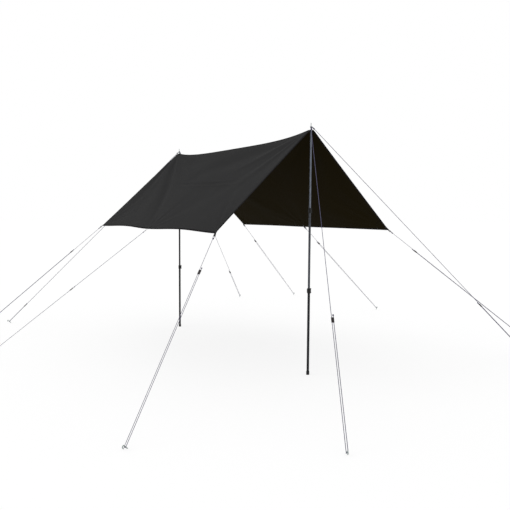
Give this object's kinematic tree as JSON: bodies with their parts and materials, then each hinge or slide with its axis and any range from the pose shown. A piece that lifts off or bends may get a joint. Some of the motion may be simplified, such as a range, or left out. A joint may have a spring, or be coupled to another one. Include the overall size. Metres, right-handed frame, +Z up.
{
  "type": "tarp shelter",
  "caption": "Square tarp pitched as a low ridge roof over telescopic poles with clamp collars, held out by guy ropes with sliders and hooked pegs.",
  "frame": {"origin": "on the ground, midway between the feet of the two poles, below the middle of the canopy", "axes": "+Z up; the ridge runs along Y with the open front at -Y; +X is the right-hand side seen from the front"},
  "size_m": [6.1161, 6.2952, 2.47],
  "materials": {
    "canopy_fabric": "woven, matt, charcoal outside and brown-black inside",
    "webbing": "ribbed tape",
    "guy_rope": "braided cord, pale bluish grey",
    "slider_plastic": "moulded",
    "clamp_plastic": "moulded, black",
    "grommet_brass": "blackened",
    "steel": "zinc plated",
    "foot_rubber": "moulded",
    "upper_tube_aluminium": "anodised grey",
    "middle_tube_aluminium": "anodised dark grey",
    "lower_tube_aluminium": "anodised charcoal"
  },
  "bodies": {
    "canopy": {"canopy_left": "canopy_fabric", "canopy_right": "canopy_fabric", "ridge_webbing": "webbing", "corner_patches": "webbing", "tie_out_loops": "webbing", "pegs": "steel", "front_left_guy": "guy_rope", "front_right_guy": "guy_rope", "rear_left_guy": "guy_rope", "rear_right_guy": "guy_rope", "middle_left_guy": "guy_rope", "middle_right_guy": "guy_rope", "front_pole_forward_guy": "guy_rope", "front_pole_side_guy": "guy_rope", "rear_pole_left_guy": "guy_rope", "rear_pole_right_guy": "guy_rope", "front_grommet": "grommet_brass", "front_spike": "steel", "front_upper_tube": "upper_tube_aluminium", "front_upper_bush": "clamp_plastic", "rear_grommet": "grommet_brass", "rear_spike": "steel", "rear_upper_tube": "upper_tube_aluminium", "rear_upper_bush": "clamp_plastic"},
    "front_middle_section": {"front_middle_tube": "middle_tube_aluminium", "front_middle_bush": "clamp_plastic", "front_upper_collar": "clamp_plastic", "front_upper_lever_pin": "steel"},
    "front_lower_section": {"front_lower_tube": "lower_tube_aluminium", "front_foot": "foot_rubber", "front_lower_collar": "clamp_plastic", "front_lower_lever_pin": "steel"},
    "front_upper_clamp": {"front_upper_lever": "clamp_plastic"},
    "front_lower_clamp": {"front_lower_lever": "clamp_plastic"},
    "rear_middle_section": {"rear_middle_tube": "middle_tube_aluminium", "rear_middle_bush": "clamp_plastic", "rear_upper_collar": "clamp_plastic", "rear_upper_lever_pin": "steel"},
    "rear_lower_section": {"rear_lower_tube": "lower_tube_aluminium", "rear_foot": "foot_rubber", "rear_lower_collar": "clamp_plastic", "rear_lower_lever_pin": "steel"},
    "rear_upper_clamp": {"rear_upper_lever": "clamp_plastic"},
    "rear_lower_clamp": {"rear_lower_lever": "clamp_plastic"},
    "front_left_slider": {"front_left_slider": "slider_plastic"},
    "front_right_slider": {"front_right_slider": "slider_plastic"},
    "rear_left_slider": {"rear_left_slider": "slider_plastic"},
    "rear_right_slider": {"rear_right_slider": "slider_plastic"},
    "middle_left_slider": {"middle_left_slider": "slider_plastic"},
    "middle_right_slider": {"middle_right_slider": "slider_plastic"},
    "front_pole_forward_slider": {"front_pole_forward_slider": "slider_plastic"},
    "front_pole_side_slider": {"front_pole_side_slider": "slider_plastic"},
    "rear_pole_left_slider": {"rear_pole_left_slider": "slider_plastic"},
    "rear_pole_right_slider": {"rear_pole_right_slider": "slider_plastic"}
  },
  "joints": [
    {"name": "front_middle_slide", "type": "slide", "parent": "canopy", "child": "front_middle_section", "axis": [0, 0, 1], "range_m": [0, 0.7]},
    {"name": "front_lower_slide", "type": "slide", "parent": "front_middle_section", "child": "front_lower_section", "axis": [0, 0, 1], "range_m": [0, 0.7]},
    {"name": "front_upper_lever_turn", "type": "hinge", "parent": "front_middle_section", "child": "front_upper_clamp", "pos_m": [0.0206, -1.4, 1.628], "axis": [0, 0, -1], "range_deg": [0, 110]},
    {"name": "front_lower_lever_turn", "type": "hinge", "parent": "front_lower_section", "child": "front_lower_clamp", "pos_m": [0.0221, -1.4, 0.84], "axis": [0, 0, -1], "range_deg": [0, 110]},
    {"name": "rear_middle_slide", "type": "slide", "parent": "canopy", "child": "rear_middle_section", "axis": [0, 0, 1], "range_m": [0, 0.7]},
    {"name": "rear_lower_slide", "type": "slide", "parent": "rear_middle_section", "child": "rear_lower_section", "axis": [0, 0, 1], "range_m": [0, 0.7]},
    {"name": "rear_upper_lever_turn", "type": "hinge", "parent": "rear_middle_section", "child": "rear_upper_clamp", "pos_m": [0.0206, 1.4, 1.628], "axis": [0, 0, -1], "range_deg": [0, 110]},
    {"name": "rear_lower_lever_turn", "type": "hinge", "parent": "rear_lower_section", "child": "rear_lower_clamp", "pos_m": [0.0221, 1.4, 0.84], "axis": [0, 0, -1], "range_deg": [0, 110]},
    {"name": "front_left_slide", "type": "slide", "parent": "canopy", "child": "front_left_slider", "axis": [-0.5762, -0.3436, -0.7415], "range_m": [0, 1.415]},
    {"name": "front_right_slide", "type": "slide", "parent": "canopy", "child": "front_right_slider", "axis": [0.7965, -0.2207, -0.5629], "range_m": [0, 2.008]},
    {"name": "rear_left_slide", "type": "slide", "parent": "canopy", "child": "rear_left_slider", "axis": [-0.5568, 0.5502, -0.6223], "range_m": [0, 1.647]},
    {"name": "rear_right_slide", "type": "slide", "parent": "canopy", "child": "rear_right_slider", "axis": [0.7265, 0.4995, -0.4718], "range_m": [0, 2.329]},
    {"name": "middle_left_slide", "type": "slide", "parent": "canopy", "child": "middle_left_slider", "axis": [-0.7047, 0.3345, -0.6256], "range_m": [0, 1.16]},
    {"name": "middle_right_slide", "type": "slide", "parent": "canopy", "child": "middle_right_slider", "axis": [0.8127, 0.3096, -0.4935], "range_m": [0, 2.313]},
    {"name": "front_pole_forward_slide", "type": "slide", "parent": "canopy", "child": "front_pole_forward_slider", "axis": [-0.3213, -0.518, -0.7927], "range_m": [0, 0.916]},
    {"name": "front_pole_side_slide", "type": "slide", "parent": "canopy", "child": "front_pole_side_slider", "axis": [0.7044, -0.2265, -0.6727], "range_m": [0, 0.815]},
    {"name": "rear_pole_left_slide", "type": "slide", "parent": "canopy", "child": "rear_pole_left_slider", "axis": [-0.5597, 0.4487, -0.6967], "range_m": [0, 0.277]},
    {"name": "rear_pole_right_slide", "type": "slide", "parent": "canopy", "child": "rear_pole_right_slider", "axis": [0.5865, 0.4936, -0.6422], "range_m": [0, 0.735]}
  ]
}
